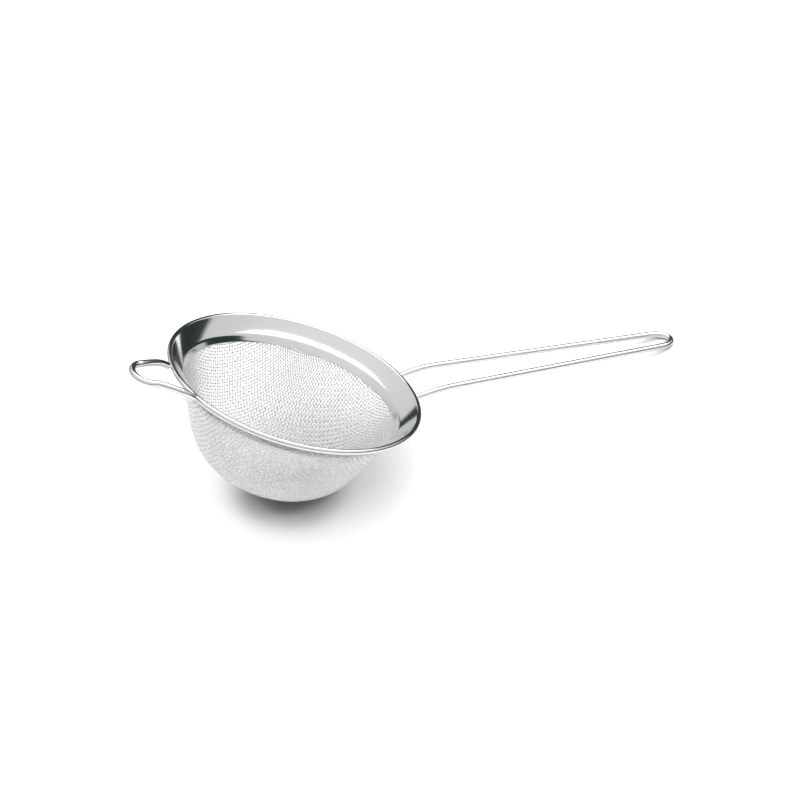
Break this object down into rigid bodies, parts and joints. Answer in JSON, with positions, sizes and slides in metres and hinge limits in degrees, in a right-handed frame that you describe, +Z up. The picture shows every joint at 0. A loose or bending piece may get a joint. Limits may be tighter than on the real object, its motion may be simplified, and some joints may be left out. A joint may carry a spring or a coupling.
{
  "type": "tea strainer",
  "caption": "Handled tea strainer with a woven wire bowl hung from a flared, rolled-edge rim, a looped wire handle and a wire rest hook.",
  "frame": {"origin": "middle of the bounding box in X and Y, at the surface the strainer lies on", "axes": "+Z up, +X from the rest hook along the handle towards its looped end; the X-Z plane is the plane of symmetry"},
  "size_m": [0.1904, 0.08, 0.0599],
  "materials": {
    "polished_sheet": "mirror polished stainless sheet",
    "woven_wire": "bright drawn stainless wire, plain weave",
    "handle_wire": "polished stainless wire",
    "hook_wire": "polished stainless wire"
  },
  "bodies": {
    "root": {"rim_ring": "polished_sheet", "mesh_bowl": "woven_wire", "handle_wire": "handle_wire", "rest_hook": "hook_wire"}
  },
  "joints": []
}
